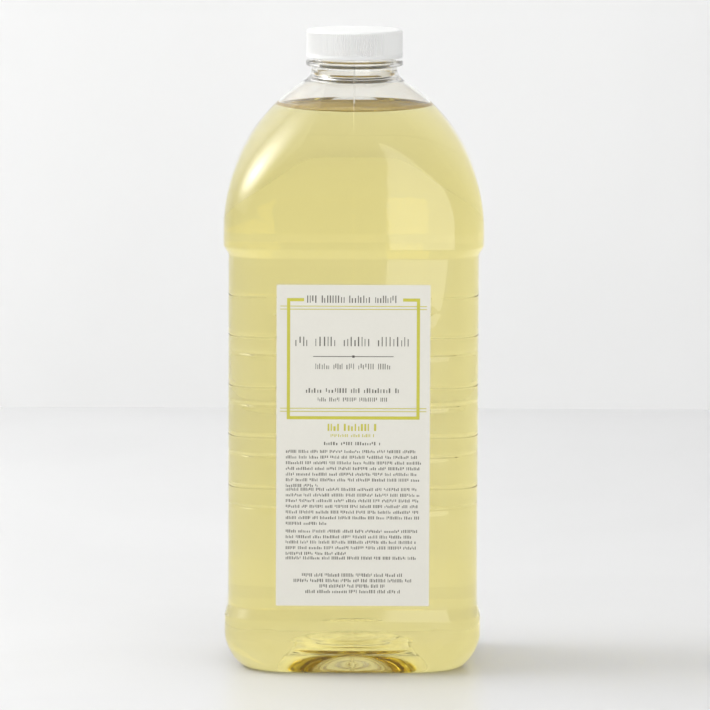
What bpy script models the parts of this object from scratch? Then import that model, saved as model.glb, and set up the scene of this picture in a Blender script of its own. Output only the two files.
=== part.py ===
"""A clear two-litre refill bottle of hand soap, with a screw cap, its liner and a front label.

Metres, +Z up. The front faces -Y, and the origin is the middle of the base, on the surface it stands on.
"""

import math
from typing import NamedTuple

import bmesh
import bpy

# Bottle, plan: a rectangle with round corners that turns into a circle up the shoulder
HALF_WIDTH = 0.0553  # at the shoulder bumper, the widest place
DEPTH_LIMIT = 0.0611  # the half-depth tends to this where the bottle is wide
DEPTH_SHARPNESS = 3  # how late the half-depth leaves the half-width
PANEL_HALF_WIDTH = 0.0532
BASE_HALF_WIDTH = 0.0546  # at the base bumper
CORNER_RADIUS = 0.0200
BODY_WALL = 0.0007
BASE_WALL = 0.0012

# Bottle, heights
HEEL_HEIGHT = 0.0150
HEEL_WIDTH = 0.0090
HEEL_FULLNESS = 1.5  # the exponent of the heel's curve: two would be a quarter of an ellipse
STANDING_WIDTH = 0.0040  # the flat ring that it stands on
BASE_BUMPER_TOP = 0.0230
BASE_LEDGE_TOP = 0.0284
PANEL_TOP = 0.1778
SHOULDER_LEDGE_TOP = 0.1822
SHOULDER_START = 0.1890
SHOULDER_RISE = 0.0690
SHOULDER_POWER = 0.62
NECK_CREASE = 0.2504
RING_BOTTOM = 0.2566
RING_TOP = 0.2587
LIP = 0.2691
LIQUID_LEVEL = 0.2380

# Bottle, grooves moulded across the panels
GROOVE_HEIGHTS = (0.0716, 0.0939, 0.1156, 0.1374, 0.1548)
GROOVE_WIDTH = 0.0026
FRONT_GROOVE_DEPTH = 0.0006
SIDE_GROOVE_DEPTH = 0.0002

# Bottle, pushed-up base
PUSH_UP_RADIUS = 0.0262
PUSH_UP_FOOT = 0.0088  # height of the plateau's rim
PUSH_UP_HEIGHT = 0.0118
PUSH_UP_RINGS = (1.0, 0.95, 0.80, 0.40)  # shares of the radius

# Bottle, neck finish for a 38 mm cap
NECK_RADIUS = 0.01825
NECK_FLARE_POWER = 3  # how late the neck widens on its way down to the dome
RING_RADIUS = 0.0207
FINISH_RADIUS = 0.0175
BORE_RADIUS = 0.01575
NECK_BORE_RADIUS = 0.0162
LIP_ROUND = 0.0004

# Screw thread, shared by the bottle and the cap
PITCH = 0.00423
THREAD_CREST = 0.01875
THREAD_BOTTOM = 0.2617
THREAD_TURNS = 1.2
THREAD_ROOT_WIDTH = 0.0021
THREAD_CREST_WIDTH = 0.0010
CAP_THREAD_CREST = 0.0179
CAP_THREAD_TURNS = 1.0
THREAD_START = math.radians(-60)
THREAD_RUN_IN = math.radians(35)

# Cap
CAP_TOP = 0.2720
CAP_BOTTOM = 0.2600
CAP_RADIUS = 0.0205
CAP_BORE_RADIUS = 0.0191
CAP_PLATE = 0.0013
CAP_EDGE_ROUND = 0.0012
CAP_BAND = 0.0014  # the smooth band at the cap's mouth
RIBS = 144
RIB_DEPTH = 0.0003

# Liner and label
GAP = 0.0003
LINER_RADIUS = 0.0186
LABEL_WIDTH = 0.0650
LABEL_THICKNESS = 0.00025
LABEL_BOTTOM = 0.0300
LABEL_TOP = 0.1671

# How finely curves are divided
CORNER_STEPS = 5
FLAT_STEPS = 4
RING_POINTS = 4 * (CORNER_STEPS + FLAT_STEPS)
THREAD_STEPS = 24  # in one turn
CAP_SIDES = 48


class Station(NamedTuple):
    """One level of the bottle: a rectangle with round corners, and how even its points are spaced."""

    z: float
    half_width: float
    half_depth: float
    corner: float
    even: float


# ---------------------------------------------------------------- small tools


def clear_scene():
    for obj in list(bpy.data.objects):
        bpy.data.objects.remove(obj, do_unlink=True)


def smooth_step(t):
    t = min(max(t, 0.0), 1.0)
    return t * t * (3 - 2 * t)


def mix(a, b, t):
    return a + (b - a) * t


def material(name, color, roughness, transmission=0.0, ior=1.5):
    made = bpy.data.materials.new(name)
    made.use_nodes = True
    shader = made.node_tree.nodes["Principled BSDF"]
    shader.inputs["Base Color"].default_value = (*color, 1.0)
    shader.inputs["Roughness"].default_value = roughness
    shader.inputs["Metallic"].default_value = 0.0
    shader.inputs["Transmission Weight"].default_value = transmission
    shader.inputs["IOR"].default_value = ior
    made.diffuse_color = (*color, 1.0)
    return made


def add_object(name, mesh, finish=None):
    obj = bpy.data.objects.new(name, mesh)
    bpy.context.scene.collection.objects.link(obj)
    if finish is not None:
        mesh.materials.append(finish)
    return obj


def loft(name, rings):
    """A closed mesh through rings of points, with a flat face over the first ring and the last."""
    shape = bmesh.new()
    levels = [[shape.verts.new(point) for point in ring] for ring in rings]
    count = len(levels[0])
    for low, high in zip(levels, levels[1:]):
        for i in range(count):
            j = (i + 1) % count
            shape.faces.new((low[i], low[j], high[j], high[i]))
    shape.faces.new(levels[0])
    shape.faces.new(levels[-1])
    bmesh.ops.recalc_face_normals(shape, faces=shape.faces)
    # The short diagonal is the same one on both sides of a wall, so the wall keeps its thickness.
    bmesh.ops.triangulate(shape, faces=shape.faces, quad_method="SHORT_EDGE")
    mesh = bpy.data.meshes.new(name)
    shape.to_mesh(mesh)
    shape.free()
    return mesh


def shade(mesh, sharp_degrees=40):
    mesh.shade_smooth()
    mesh.set_sharp_from_angle(angle=math.radians(sharp_degrees))


def join_to(obj, helper):
    """Unites a helper with an object through a live Boolean, and keeps the helper out of the part."""
    helper.hide_render = True
    helper.display_type = "WIRE"
    union = obj.modifiers.new(helper.name, "BOOLEAN")
    union.operation = "UNION"
    union.object = helper


def circle(radius, z, points):
    turn = 2 * math.pi / points
    return [(radius * math.cos(i * turn), radius * math.sin(i * turn), z) for i in range(points)]


# ------------------------------------------------------------- bottle's plan


def half_depth_for(half_width):
    """A soft minimum: near the neck the depth follows the width, lower down it stays under DEPTH_LIMIT."""
    n = DEPTH_SHARPNESS
    return (half_width**-n + DEPTH_LIMIT**-n) ** (-1 / n)


def panel_angles():
    """The directions in which a ring has its points: close together at the corners, wide on the flats."""
    width = PANEL_HALF_WIDTH
    depth = half_depth_for(HALF_WIDTH) - (HALF_WIDTH - PANEL_HALF_WIDTH)
    radius = CORNER_RADIUS
    outline = []
    for quarter, (side_x, side_y) in enumerate(((1, 1), (-1, 1), (-1, -1), (1, -1))):
        for step in range(CORNER_STEPS + 1):
            turn = math.radians(90) * (quarter + step / CORNER_STEPS)
            outline.append(
                (
                    side_x * (width - radius) + radius * math.cos(turn),
                    side_y * (depth - radius) + radius * math.sin(turn),
                )
            )
        x, y = outline[-1]
        next_x, next_y = (-x, y) if quarter % 2 == 0 else (x, -y)
        for step in range(1, FLAT_STEPS):
            part = step / FLAT_STEPS
            outline.append((mix(x, next_x, part), mix(y, next_y, part)))
    first = math.atan2(outline[0][1], outline[0][0])
    return [first + (math.atan2(y, x) - first) % (2 * math.pi) for x, y in outline]


PANEL_ANGLES = panel_angles()
EVEN_STEP = 2 * math.pi / RING_POINTS
EVEN_START = math.radians(45) - CORNER_STEPS * EVEN_STEP / 2


def reach(angle, station):
    """How far the plan's outline is from its middle, in one direction."""
    c, s = abs(math.cos(angle)), abs(math.sin(angle))
    straight_x = station.half_width - station.corner
    straight_y = station.half_depth - station.corner
    if c > 0 and station.half_width / c * s <= straight_y:
        return station.half_width / c
    if s > 0 and station.half_depth / s * c <= straight_x:
        return station.half_depth / s
    along = c * straight_x + s * straight_y
    return along + math.sqrt(along**2 - straight_x**2 - straight_y**2 + station.corner**2)


def ring_of(station):
    points = []
    for i, panel_angle in enumerate(PANEL_ANGLES):
        angle = mix(panel_angle, EVEN_START + i * EVEN_STEP, station.even)
        distance = reach(angle, station)
        points.append((distance * math.cos(angle), distance * math.sin(angle), station.z))
    return points


# ----------------------------------------------------------- bottle's stations


def body_station(z, half_width):
    """A level of the body, whose depth follows its width by a fixed step."""
    bumper_depth = half_depth_for(HALF_WIDTH)
    return Station(z, half_width, bumper_depth - (HALF_WIDTH - half_width), CORNER_RADIUS, 0.0)


def shoulder_stations():
    """From the neck's crease down to the bumper, on a curve close to a quarter of an ellipse."""
    steps = 11
    crease = (NECK_CREASE - SHOULDER_START) / SHOULDER_RISE
    first_turn = math.asin(crease)
    found = []
    for step in range(steps):
        up = math.sin(first_turn * (1 - step / (steps - 1)))
        half_width = HALF_WIDTH * (1 - up**2) ** SHOULDER_POWER
        half_depth = half_depth_for(half_width)
        roundness = smooth_step(up / crease) ** 1.5
        corner = mix(CORNER_RADIUS, min(half_width, half_depth), roundness)
        z = SHOULDER_START + SHOULDER_RISE * up
        found.append(Station(z, half_width, half_depth, corner, roundness))
    return found


def ledge_stations(z_top, width_top, z_bottom, width_bottom):
    """A straight slope between two widths."""
    return [body_station(z_top, width_top), body_station(z_bottom, width_bottom)]


def groove_stations(z):
    """One moulded groove: its two edges and its bottom, deep across the front and shallow at the sides."""
    edge = body_station(z, PANEL_HALF_WIDTH)
    bottom = Station(
        z,
        edge.half_width - SIDE_GROOVE_DEPTH,
        edge.half_depth - FRONT_GROOVE_DEPTH,
        edge.corner,
        edge.even,
    )
    half = GROOVE_WIDTH / 2
    return [edge._replace(z=z + half), bottom, edge._replace(z=z - half)]


def heel_stations():
    """A quarter of a superellipse from the base bumper down to the standing ring."""
    steps = 5
    found = []
    for step in range(steps + 1):
        turn = math.radians(90) * step / steps
        inward = HEEL_WIDTH * (1 - math.cos(turn) ** (2 / HEEL_FULLNESS))
        height = HEEL_HEIGHT * (1 - math.sin(turn) ** (2 / HEEL_FULLNESS))
        found.append(body_station(height, BASE_HALF_WIDTH - inward))
    return found


def push_up_stations():
    """From the standing ring's inner edge up to the middle of the base, where the plan is a circle."""
    inner_edge = body_station(0.0, BASE_HALF_WIDTH - HEEL_WIDTH - STANDING_WIDTH)
    found = [inner_edge._replace(corner=inner_edge.half_depth - 0.010)]
    for share in PUSH_UP_RINGS:
        radius = PUSH_UP_RADIUS * share
        height = mix(PUSH_UP_FOOT, PUSH_UP_HEIGHT, math.sqrt(1 - share**4))
        found.append(Station(height, radius, radius, radius, 1.0))
    return found


def body_stations():
    """The outer surface of the body, from the neck's crease to the middle of the base."""
    found = shoulder_stations()
    found += ledge_stations(SHOULDER_LEDGE_TOP, HALF_WIDTH, PANEL_TOP, PANEL_HALF_WIDTH)
    for z in reversed(GROOVE_HEIGHTS):
        found += groove_stations(z)
    found += ledge_stations(BASE_LEDGE_TOP, PANEL_HALF_WIDTH, BASE_BUMPER_TOP, BASE_HALF_WIDTH)
    return found + heel_stations() + push_up_stations()


def inset(stations, distance):
    """The same stations moved inwards, square to the surface as seen from the front."""
    found = []
    for i, station in enumerate(stations):
        above = stations[max(i - 1, 0)]
        below = stations[min(i + 1, len(stations) - 1)]
        run = below.half_width - above.half_width
        fall = above.z - below.z
        length = math.hypot(run, fall)
        inward = distance * fall / length
        upward = -distance * run / length
        found.append(
            Station(
                station.z + upward,
                station.half_width - inward,
                station.half_depth - inward,
                max(station.corner - inward, 0.002),
                station.even,
            )
        )
    return found


# --------------------------------------------------------------------- pieces


def helix_ridge(name, root, crest, z_bottom, turns, start):
    """A solid ridge along a helix, lower towards both ends. Its root lies inside the wall that carries it."""
    steps = round(turns * THREAD_STEPS)
    sections = []
    for step in range(steps + 1):
        turn = 2 * math.pi * turns * step / steps
        to_end = min(turn, 2 * math.pi * turns - turn)
        height = smooth_step(to_end / THREAD_RUN_IN)
        sunk_crest = mix(root + 0.2 * (crest - root) * GAP / abs(crest - root), crest, height)
        z = z_bottom + PITCH * turn / (2 * math.pi)
        section = []
        for radius, half in (
            (root, -THREAD_ROOT_WIDTH / 2),
            (sunk_crest, -THREAD_CREST_WIDTH / 2),
            (sunk_crest, THREAD_CREST_WIDTH / 2),
            (root, THREAD_ROOT_WIDTH / 2),
        ):
            angle = start + turn
            section.append((radius * math.cos(angle), radius * math.sin(angle), z + half))
        sections.append(section)
    return add_object(name, loft(name, sections))


def make_bottle():
    outer_body = body_stations()
    inner_body = inset(outer_body, BODY_WALL)
    bottom_count = len(push_up_stations())
    inner_body[-bottom_count:] = inset(outer_body, BASE_WALL)[-bottom_count:]

    def turned(radius, z):
        return Station(z, radius, radius, radius, 1.0)

    bore = [
        turned(NECK_BORE_RADIUS, NECK_CREASE + 0.0015),
        turned(NECK_BORE_RADIUS, RING_BOTTOM - 0.0006),
        turned(BORE_RADIUS, RING_BOTTOM + 0.0012),
        turned(BORE_RADIUS, LIP - LIP_ROUND),
        turned(BORE_RADIUS + LIP_ROUND, LIP),
    ]
    finish = [
        turned(FINISH_RADIUS - LIP_ROUND, LIP),
        turned(FINISH_RADIUS, LIP - LIP_ROUND),
        turned(FINISH_RADIUS, RING_TOP + 0.0005),
        turned(FINISH_RADIUS + 0.0005, RING_TOP),
        turned(RING_RADIUS - 0.0003, RING_TOP),
        turned(RING_RADIUS, RING_TOP - 0.0004),
        turned(RING_RADIUS, RING_BOTTOM + 0.0004),
        turned(RING_RADIUS - 0.0004, RING_BOTTOM),
        turned(NECK_RADIUS, RING_BOTTOM),
    ]
    crease_radius = outer_body[0].half_width
    for part in (0.40, 0.65, 0.85):
        radius = mix(NECK_RADIUS, crease_radius, part**NECK_FLARE_POWER)
        finish.append(turned(radius, mix(RING_BOTTOM, NECK_CREASE, part)))
    stations = inner_body[::-1] + bore + finish + outer_body
    mesh = loft("bottle", [ring_of(station) for station in stations])
    shade(mesh)
    clear_plastic = material("clear_plastic", (0.95, 0.97, 0.95), 0.05, transmission=1.0, ior=1.57)
    bottle = add_object("bottle", mesh, clear_plastic)
    thread = helix_ridge(
        "bottle_thread",
        FINISH_RADIUS - 0.0004,
        THREAD_CREST,
        THREAD_BOTTOM + 0.0006,
        THREAD_TURNS,
        THREAD_START,
    )
    join_to(bottle, thread)
    return bottle


def make_soap():
    """The liquid, a little inside the bottle's inner surface, with a level top."""
    outer_body = body_stations()
    side = inset(outer_body, BODY_WALL + GAP)
    bottom_count = len(push_up_stations())
    side[-bottom_count:] = inset(outer_body, BASE_WALL + GAP)[-bottom_count:]
    below = [station for station in side if station.z < LIQUID_LEVEL - 0.0015]
    above = side[len(side) - len(below) - 1]
    part = (LIQUID_LEVEL - below[0].z) / (above.z - below[0].z)
    top = Station(*(mix(low, high, part) for low, high in zip(below[0], above)))
    mesh = loft("soap", [ring_of(station) for station in [top] + below])
    shade(mesh)
    liquid = material("yellow_soap", (0.86, 0.80, 0.32), 0.0, transmission=1.0, ior=1.36)
    return add_object("soap", mesh, liquid)


def make_cap():
    """A turned cup with its mouth down, a band of grip ribs around it and a thread inside."""
    plate_under = CAP_TOP - CAP_PLATE
    body_radius = CAP_RADIUS - RIB_DEPTH
    profile = [
        (CAP_BORE_RADIUS - 0.0006, plate_under),
        (CAP_BORE_RADIUS, plate_under - 0.0006),
        (CAP_BORE_RADIUS, CAP_BOTTOM + 0.0003),
        (CAP_BORE_RADIUS + 0.0003, CAP_BOTTOM),
        (body_radius - 0.0002, CAP_BOTTOM),
        (body_radius, CAP_BOTTOM + 0.0002),
        (body_radius, CAP_TOP - CAP_EDGE_ROUND),
    ]
    for step in range(1, 4):
        turn = math.radians(90) * step / 3
        profile.append(
            (
                body_radius - CAP_EDGE_ROUND * (1 - math.cos(turn)),
                CAP_TOP - CAP_EDGE_ROUND * (1 - math.sin(turn)),
            )
        )
    mesh = loft("cap", [circle(radius, z, CAP_SIDES) for radius, z in profile])
    shade(mesh)
    cap = add_object("cap", mesh, material("white_plastic", (0.93, 0.93, 0.92), 0.35))

    outline = []
    for i in range(2 * RIBS):
        radius = CAP_RADIUS if i % 2 == 0 else CAP_RADIUS - RIB_DEPTH * 0.8
        angle = math.pi * i / RIBS
        outline.append((radius * math.cos(angle), radius * math.sin(angle)))
    z_low, z_high = CAP_BOTTOM + CAP_BAND, CAP_TOP - CAP_EDGE_ROUND
    grip = loft("cap_grip", [[(x, y, z) for x, y in outline] for z in (z_low, z_high)])
    join_to(cap, hollow_out(add_object("cap_grip", grip), z_low, z_high))

    half_pitch_under = THREAD_BOTTOM + PITCH / 2
    join_to(
        cap,
        helix_ridge(
            "cap_thread",
            CAP_BORE_RADIUS + 0.0004,
            CAP_THREAD_CREST,
            half_pitch_under,
            CAP_THREAD_TURNS,
            THREAD_START,
        ),
    )
    return cap


def hollow_out(obj, z_low, z_high):
    """Cuts the middle out of the grip band, halfway through the cap's wall."""
    radius = (CAP_BORE_RADIUS + CAP_RADIUS - RIB_DEPTH) / 2
    levels = (z_low - 0.001, z_high + 0.001)
    core = add_object("cap_grip_core", loft("cap_grip_core", [circle(radius, z, CAP_SIDES) for z in levels]))
    core.hide_render = True
    core.display_type = "WIRE"
    cut = obj.modifiers.new("core", "BOOLEAN")
    cut.operation = "DIFFERENCE"
    cut.object = core
    return obj


def make_liner():
    """The foam disc between the bottle's lip and the cap's top plate."""
    z_low, z_high = LIP + GAP, CAP_TOP - CAP_PLATE - GAP
    rings = [circle(LINER_RADIUS, z, CAP_SIDES // 2) for z in (z_low, z_high)]
    mesh = loft("cap_liner", rings)
    shade(mesh)
    return add_object("cap_liner", mesh, material("white_foam", (0.90, 0.90, 0.88), 0.8))


def make_label():
    """A flat rectangle of label paper just off the front panel."""
    panel_front = -body_station(0.0, PANEL_HALF_WIDTH).half_depth
    near, far = panel_front - GAP - LABEL_THICKNESS, panel_front - GAP
    half = LABEL_WIDTH / 2
    outline = [(-half, near), (half, near), (half, far), (-half, far)]
    rings = [[(x, y, z) for x, y in outline] for z in (LABEL_BOTTOM, LABEL_TOP)]
    label_paper = material("label_paper", (0.86, 0.85, 0.81), 0.55)
    return add_object("front_label", loft("front_label", rings), label_paper)


def main():
    clear_scene()
    make_bottle()
    make_soap()
    make_cap()
    make_liner()
    make_label()


main()
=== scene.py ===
"""Looks of a clear two-litre refill bottle of hand soap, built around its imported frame.

Metres, +Z up. The front faces -Y.
"""

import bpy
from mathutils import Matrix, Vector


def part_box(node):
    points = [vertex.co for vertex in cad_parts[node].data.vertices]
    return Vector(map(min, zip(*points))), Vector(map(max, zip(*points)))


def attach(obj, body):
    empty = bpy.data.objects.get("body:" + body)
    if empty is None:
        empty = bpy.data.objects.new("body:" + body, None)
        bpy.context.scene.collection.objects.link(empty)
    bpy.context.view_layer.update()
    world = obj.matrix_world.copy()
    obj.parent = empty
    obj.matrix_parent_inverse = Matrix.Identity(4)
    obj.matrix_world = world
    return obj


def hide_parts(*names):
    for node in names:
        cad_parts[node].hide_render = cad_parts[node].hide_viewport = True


bl_info = {
    "name": "Soap refill bottle",
    "version": (1, 0, 0),
    "blender": (4, 5, 0),
    "location": "3D View > Sidebar > Refill Bottle",
    "description": "Builds a clear refill bottle of liquid soap with its cap, label, stage and lights",
    "category": "Object",
}

import math

import bpy
import numpy as np
from bpy.props import FloatProperty, FloatVectorProperty, IntProperty, PointerProperty
from mathutils import Vector

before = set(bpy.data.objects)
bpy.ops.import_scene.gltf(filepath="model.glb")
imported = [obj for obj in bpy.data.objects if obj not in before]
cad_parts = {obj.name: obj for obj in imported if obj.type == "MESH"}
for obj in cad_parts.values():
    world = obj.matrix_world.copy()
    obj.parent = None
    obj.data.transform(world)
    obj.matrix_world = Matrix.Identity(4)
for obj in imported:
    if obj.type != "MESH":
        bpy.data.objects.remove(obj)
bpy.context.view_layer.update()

BOTTLE_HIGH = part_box("bottle")[1]
CAP_LOW, CAP_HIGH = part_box("cap")
LINER_LOW, LINER_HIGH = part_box("cap_liner")
SOAP_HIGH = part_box("soap")[1]
LABEL_LOW, LABEL_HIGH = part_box("front_label")

QUARTER = math.pi / 2
FULL = 2 * math.pi
SHARP_ANGLE = math.radians(50)


# ------------------------------------------------------------------ settings


def metres(title, says, default):
    """A setting in metres."""
    return FloatProperty(name=title, description=says, default=default, unit="LENGTH")


def rgb(title, says, default):
    """A colour setting, as linear red, green and blue."""
    return FloatVectorProperty(name=title, description=says, default=default, subtype="COLOR")


class BottleSettings(bpy.types.PropertyGroup):
    """Sizes of the blown bottle that the frame's boxes don't give."""

    panel_inset: metres("Panel inset", "How far the panels lie inside the shoulder", 0.0021)
    base_inset: metres("Base inset", "How far the base bumper lies inside the shoulder", 0.0007)
    corner_radius: metres("Corner radius", "Radius of the body's upright corners", 0.0200)
    shoulder_start: metres("Shoulder start", "Height where the dome begins", 0.1890)
    shoulder_rise: metres("Shoulder rise", "Rise at which the dome's curve would close", 0.0690)
    shoulder_power: FloatProperty(
        name="Shoulder power", description="Fullness of the dome; a half is an ellipse", default=0.62
    )
    neck_crease: metres("Neck crease", "Height where the neck meets the dome", 0.2504)
    neck_radius: metres("Neck radius", "Outer radius under the support ring", 0.01825)
    wall: metres("Wall", "Thickness of the blown wall", 0.0005)
    base_wall: metres("Base wall", "Thickness at the middle of the base", 0.0013)
    flare_power: FloatProperty(
        name="Flare power", description="How late the neck widens on its way down to the dome", default=3.0
    )
    heel_fullness: FloatProperty(
        name="Heel fullness",
        description="Exponent of the heel's curve; two is a quarter of an ellipse",
        default=1.5,
    )
    groove_depth: metres("Groove depth", "Depth of the grooves across the front", 0.0006)
    groove_width: metres("Groove width", "Height of one groove", 0.0026)
    pet_ior: FloatProperty(name="Plastic IOR", description="Refractive index of clear PET", default=1.57)
    tint: rgb("Plastic tint", "Colour of the clear plastic", (0.99, 0.985, 0.955))


class SoapSettings(bpy.types.PropertyGroup):
    """The liquid's optics and its edge."""

    ior: FloatProperty(name="Soap IOR", description="Refractive index of the soap", default=1.36)
    density: FloatProperty(
        name="Colour strength", description="Strongest absorption along one metre", default=13.0
    )
    colour: rgb("Colour", "Light that passes best", (0.883, 0.79, 0.015))
    # Painted shade: a diffuse amber on the soap's top face that stands in for the darker band seen through
    # the liquid's surface at a grazing angle.
    face_shade_colour: rgb("Face colour", "Amber film on the top face", (0.86, 0.64, 0.16))
    face_clearness: FloatProperty(name="Face clearness", description="How much passes the film", default=0.45)
    meniscus_height: metres("Meniscus height", "How far the liquid climbs the wall", 0.0016)
    meniscus_reach: metres("Meniscus reach", "How far from the wall the climb begins", 0.0016)


class CapSettings(bpy.types.PropertyGroup):
    """Sizes and colour of the screw cap."""

    ribs: IntProperty(name="Ribs", description="Grip ribs around the cap", default=144)
    rib_depth: metres("Rib depth", "Depth of the grip", 0.00032)
    band: metres("Band", "Smooth band at the mouth", 0.0014)
    edge_round: metres("Edge round", "Radius of the top edge", 0.0013)
    bore_radius: metres("Bore radius", "Inner radius", 0.0191)
    plate: metres("Plate", "Thickness of the top plate", 0.0013)
    colour: rgb("Colour", "White moulded plastic", (0.79, 0.79, 0.775))


class LabelSettings(bpy.types.PropertyGroup):
    """Paper and inks of the front label."""

    thickness: metres("Thickness", "Label paper", 0.00015)
    ink_rise: metres("Ink rise", "Thickness of the print", 0.00002)
    border_half_width: metres("Border half-width", "From the middle to the border's outer edge", 0.0281)
    border_line: metres("Border line", "Width of the border's line", 0.00135)
    name_gap: metres("Name gap", "Half of the gap in the border's top line", 0.0209)
    small_height: metres("Small print", "Height of the small marks", 0.0013)
    small_stroke: metres("Small stroke", "Width of one small mark", 0.00030)
    paper: rgb("Paper", "Off-white paper", (0.78, 0.76, 0.68))
    frame_ink: rgb("Frame ink", "Olive-yellow of the border", (0.50, 0.47, 0.045))
    text_ink: rgb("Text ink", "Soft black of the small print", (0.10, 0.095, 0.075))


class StageSettings(bpy.types.PropertyGroup):
    """Camera, floor, wall and lights."""

    distance: metres("Distance", "Camera to the bottle's axis", 3.0)
    camera_height: metres("Camera height", "Above the floor", 0.4976)
    pitch: FloatProperty(
        name="Pitch", description="Downward tilt of the camera", default=math.radians(6.95), subtype="ANGLE"
    )
    roll: FloatProperty(
        name="Roll", description="Turn about the view", default=math.radians(-0.22), subtype="ANGLE"
    )
    lens: FloatProperty(
        name="Lens", description="Focal length in millimetres for a 36 mm sensor", default=357.2
    )
    aside: metres("Aside", "How far right of the axis the camera stands", -0.0007)
    wall_distance: metres("Wall distance", "The wall's place behind the bottle", 0.84)
    floor_colour: rgb("Floor colour", "Pale tabletop", (0.70, 0.70, 0.70))
    wall_colour: rgb("Wall colour", "Pale wall", (0.79, 0.79, 0.785))


# --------------------------------------------------------------- numpy meshes


def smooth_step(t):
    """t squared times three minus twice t, held between 0 and 1."""
    t = np.clip(t, 0.0, 1.0)
    return t * t * (3 - 2 * t)


def chamfer(t):
    """A straight slope from 0 to 1 with a short level run at each end."""
    return np.clip((t - 0.08) / 0.84, 0.0, 1.0)


def quads_between(rows, columns):
    """Quads of a grid closed around its columns: (row, column) to the next column and the next row."""
    row, column = np.meshgrid(np.arange(rows - 1), np.arange(columns), indexing="ij")
    beside = (column + 1) % columns
    low, high = row * columns, (row + 1) * columns
    return np.stack([low + column, low + beside, high + beside, high + column], -1).reshape(-1, 4)


def signed_volume(points, faces):
    """One sixth of the sum of each triangle's triple product."""
    triangles = points[np.concatenate([faces[:, [0, 1, 2]], faces[:, [0, 2, 3]]])]
    return np.einsum("ij,ij->i", triangles[:, 0], np.cross(triangles[:, 1], triangles[:, 2])).sum() / 6


def object_from(name, points, faces, row_slots=None, smooth=True):
    """A mesh object from points and quads. A quad whose last corner repeats its third is a triangle."""
    if signed_volume(points, faces) < 0:
        faces = faces[:, [1, 0, 3, 2]]
        triangles = faces[:, 2] == faces[:, 3]
        faces[triangles] = faces[triangles][:, [0, 1, 2, 2]]
    corners = [tuple(face[:3]) if face[2] == face[3] else tuple(face) for face in faces.tolist()]
    mesh = bpy.data.meshes.new(name)
    mesh.from_pydata(points, [], corners)
    if row_slots is not None:
        mesh.polygons.foreach_set("material_index", np.asarray(row_slots, np.int32))
    if smooth:
        mesh.shade_smooth()
        mesh.set_sharp_from_angle(angle=SHARP_ANGLE)
    mesh.update()
    obj = bpy.data.objects.new(name, mesh)
    bpy.context.scene.collection.objects.link(obj)
    return obj


def revolve_rows(name, rows, slots=None):
    """A closed solid through rings of points, rows by columns by 3, with a pole in both end rings."""
    count, columns = rows.shape[:2]
    faces = quads_between(count, columns)
    around = np.arange(columns)
    beside = (around + 1) % columns
    first_pole, last_pole = count * columns, count * columns + 1
    last = (count - 1) * columns
    first_fan = np.stack([beside, around, np.full(columns, first_pole), np.full(columns, first_pole)], -1)
    end = np.full(columns, last_pole)
    last_fan = np.stack([last + around, last + beside, end, end], -1)
    points = np.concatenate([rows.reshape(-1, 3), rows[[0, -1]].mean(axis=1)])
    row_slots = None
    if slots is not None:
        row_slots = np.concatenate(
            [np.repeat(slots[:-1], columns), np.full(columns, slots[0]), np.full(columns, slots[-1])]
        )
    return object_from(name, points, np.concatenate([faces, first_fan, last_fan]), row_slots)


def turned_rows(profile, columns):
    """Rings of a turned profile: (radius cos a, radius sin a, z) for each row and each even angle a."""
    angles = np.arange(columns) * FULL / columns
    radius, z = profile[:, :1], profile[:, 1:]
    return np.stack([radius * np.cos(angles), radius * np.sin(angles), z + 0 * angles], -1)


def arc(centre_r, centre_z, radius, start, stop, steps):
    """Points of an arc in the profile's plane, angles in degrees from +r towards +z."""
    turn = np.radians(np.linspace(start, stop, steps))
    return np.stack([centre_r + radius * np.cos(turn), centre_z + radius * np.sin(turn)], -1)


def line(start, stop, steps):
    """Evenly spaced points of a straight run of the profile."""
    return np.linspace(start, stop, steps)


def ridge(phase, half_root, half_crest):
    """Height of a thread beside its middle: 1 on the crest, a smooth slope down to 0 at the root."""
    return 1 - smooth_step((np.abs(phase) - half_crest) / (half_root - half_crest))


# ---------------------------------------------------------- the bottle's plan

DEPTH_SHARPNESS = 3
DEPTH_LIMIT = 0.0611
CORNER_STEPS = 24
FLAT_STEPS = 16
COLUMNS = 4 * (CORNER_STEPS + FLAT_STEPS)
GROOVE_HEIGHTS = np.array([0.0716, 0.0939, 0.1156, 0.1374, 0.1548])
SIDE_GROOVE_SHARE = 0.22
TOP_GROOVE_HALF_LENGTH = 0.036
LEDGE_TOP, PANEL_TOP = 0.1822, 0.1778
BASE_LEDGE_TOP, BASE_BUMPER_TOP = 0.0284, 0.0230
HEEL_HEIGHT, HEEL_WIDTH, STANDING_WIDTH = 0.0150, 0.0090, 0.0040
PUSH_UP_RADIUS, PUSH_UP_FOOT, PUSH_UP_HEIGHT = 0.0262, 0.0088, 0.0118
PUSH_UP_RIPPLE, RIPPLE_LENGTH = 0.0003, 0.0068
RING_TOP, RING_BOTTOM = 0.2587, 0.2566
BORE_RADIUS, FINISH_RADIUS, RING_RADIUS, NECK_BORE_RADIUS = 0.01575, 0.0175, 0.0207, 0.0162
FILLET, EDGE_ROUND = 0.0006, 0.0005
PITCH = 0.00423

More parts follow.
